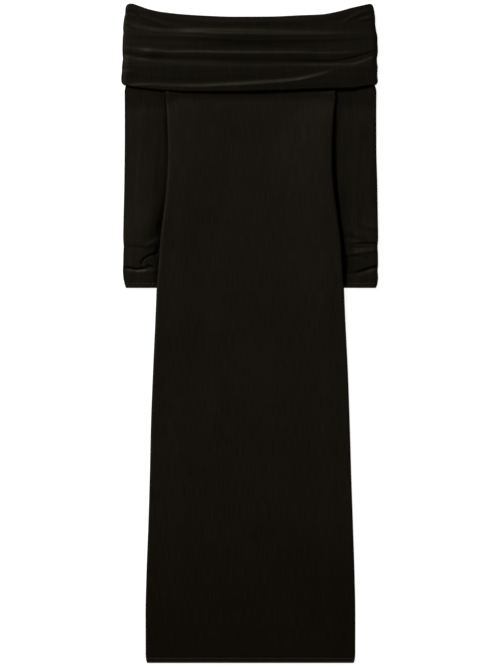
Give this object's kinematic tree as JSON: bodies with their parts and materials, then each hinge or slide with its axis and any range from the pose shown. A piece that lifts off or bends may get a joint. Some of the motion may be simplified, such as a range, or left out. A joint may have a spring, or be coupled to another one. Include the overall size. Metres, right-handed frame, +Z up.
{
  "type": "off-shoulder dress",
  "caption": "Long black off-shoulder jersey dress laid flat, with a deep draped fold-over collar, narrow long sleeves and a plain column skirt.",
  "frame": {"origin": "centre of the laid dress at the surface it lies on", "axes": "+Z up out of the dress's front, +Y from the hem towards the collar, +X towards the sleeve that is on the right when the front is looked down on"},
  "size_m": [0.5131, 1.3178, 0.0148],
  "materials": {
    "jersey": "soft matt knit jersey, near black",
    "jersey_inside": "soft matt knit jersey, near black, back pieces"
  },
  "bodies": {
    "root": {"body_front": "jersey", "body_back": "jersey_inside", "sleeve_left": "jersey", "sleeve_right": "jersey", "collar_front": "jersey", "collar_back": "jersey_inside"}
  },
  "joints": []
}
